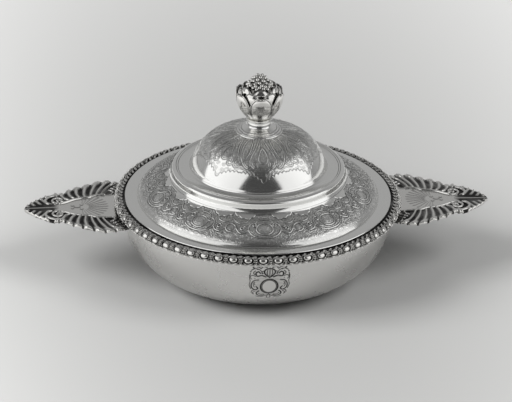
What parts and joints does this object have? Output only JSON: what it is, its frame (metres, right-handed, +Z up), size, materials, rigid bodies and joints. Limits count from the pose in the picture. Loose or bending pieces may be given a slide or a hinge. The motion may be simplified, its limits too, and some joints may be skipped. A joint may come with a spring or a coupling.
{
  "type": "covered ecuelle",
  "caption": "Low round silver bowl with two flat pointed cast handles, an egg-and-leaf border and a domed lift-off lid with a bud finial.",
  "frame": {"origin": "centre of the bowl's flat underside, on the table", "axes": "+Z up, +X through the right handle, the front at -Y"},
  "size_m": [0.2988, 0.1844, 0.1345],
  "materials": {
    "polished_silver": "raised silver sheet, planished and polished, with fine wear scratches",
    "cast_silver": "cast and chased silver, polished on the crests and darkened in the hollows",
    "chased_silver": "raised silver sheet, polished, with chased strapwork on a finely matted ground"
  },
  "bodies": {
    "bowl_body": {"bowl": "polished_silver", "rim_border": "cast_silver", "right_handle": "cast_silver", "left_handle": "cast_silver"},
    "lid_body": {"lid": "chased_silver", "lid_bezel": "polished_silver", "finial_collar": "polished_silver", "finial_outer_petals": "cast_silver", "finial_middle_petals": "cast_silver", "finial_inner_petals": "cast_silver", "finial_berries": "cast_silver", "finial_stud": "polished_silver", "finial_washer": "polished_silver", "finial_nut": "polished_silver"}
  },
  "joints": [
    {"name": "lid_lift", "type": "slide", "parent": "bowl_body", "child": "lid_body", "axis": [0, 0, 1], "range_m": [0, 0.1]}
  ]
}
